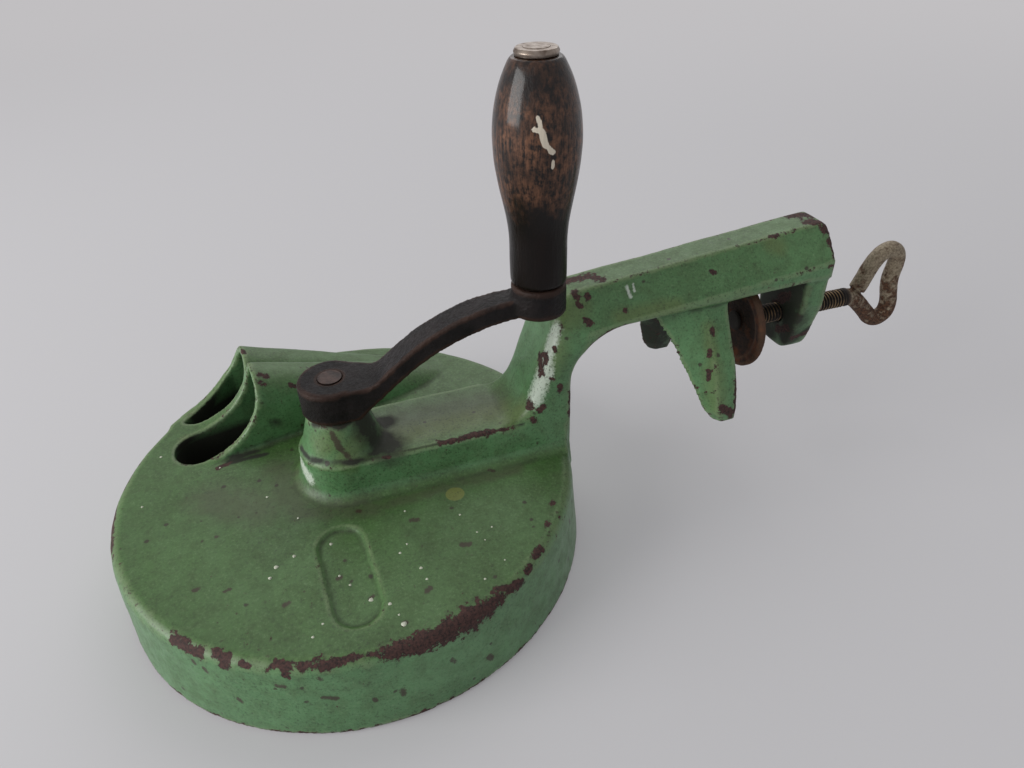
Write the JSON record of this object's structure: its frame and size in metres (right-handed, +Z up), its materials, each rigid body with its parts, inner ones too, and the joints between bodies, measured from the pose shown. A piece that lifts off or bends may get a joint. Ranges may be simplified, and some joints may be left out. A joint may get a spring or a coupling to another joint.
{
  "type": "bean slicer with crank",
  "caption": "Hand cranked bean slicer: a round cast housing with hooded chutes, knives on a turning disc below, and a leaning arm with a screw clamp for a table edge.",
  "frame": {"origin": "centre of the housing's rim, on the crank axis, in the plane it rests on", "axes": "+Z up along the crank axis, +X from the crank axis to the clamp"},
  "size_m": [0.3343, 0.1758, 0.1801],
  "materials": {
    "green_paint": "worn gloss enamel over cast iron",
    "black_iron": "dark and slightly rusty",
    "plain_iron": "bare and machined",
    "bright_steel": "worn",
    "rusty_iron": "rusty",
    "worn_steel": "rusty, with the last of a pale coat",
    "varnished_wood": "dark worn varnish",
    "plated_brass": "worn"
  },
  "bodies": {
    "frame": {"housing": "green_paint"},
    "crank_body": {"crank_arm": "black_iron", "crank_shaft": "bright_steel", "thrust_washer": "bright_steel", "cutter_disc": "plain_iron", "knife_1": "bright_steel", "knife_2": "bright_steel", "knife_3": "bright_steel", "knife_screws": "bright_steel", "lock_washer": "bright_steel", "shaft_nut": "bright_steel", "grip_spindle": "bright_steel", "grip_cap": "plated_brass"},
    "grip_body": {"grip": "varnished_wood"},
    "pad_body": {"clamp_pad": "rusty_iron"},
    "screw_body": {"clamp_screw": "worn_steel"}
  },
  "joints": [
    {"name": "crank_turn", "type": "hinge", "parent": "frame", "child": "crank_body", "pos_m": [0, 0, 0.0625], "axis": [0, 0, 1], "continuous": true},
    {"name": "grip_spin", "type": "hinge", "parent": "crank_body", "child": "grip_body", "pos_m": [0.07119, -0.01908, 0.144], "axis": [0, 0, 1], "continuous": true},
    {"name": "clamp_travel", "type": "slide", "parent": "frame", "child": "pad_body", "axis": [1, 0, 0], "range_m": [-0.0138, 0.0132]},
    {"name": "screw_turn", "type": "hinge", "parent": "pad_body", "child": "screw_body", "pos_m": [0.1631, 0, 0.0632], "axis": [1, 0, 0], "range_deg": [-3500, 3350]}
  ],
  "couplings": [
    {"joint": "clamp_travel", "follows": "screw_turn", "m_per_rad": 0.00022458}
  ]
}
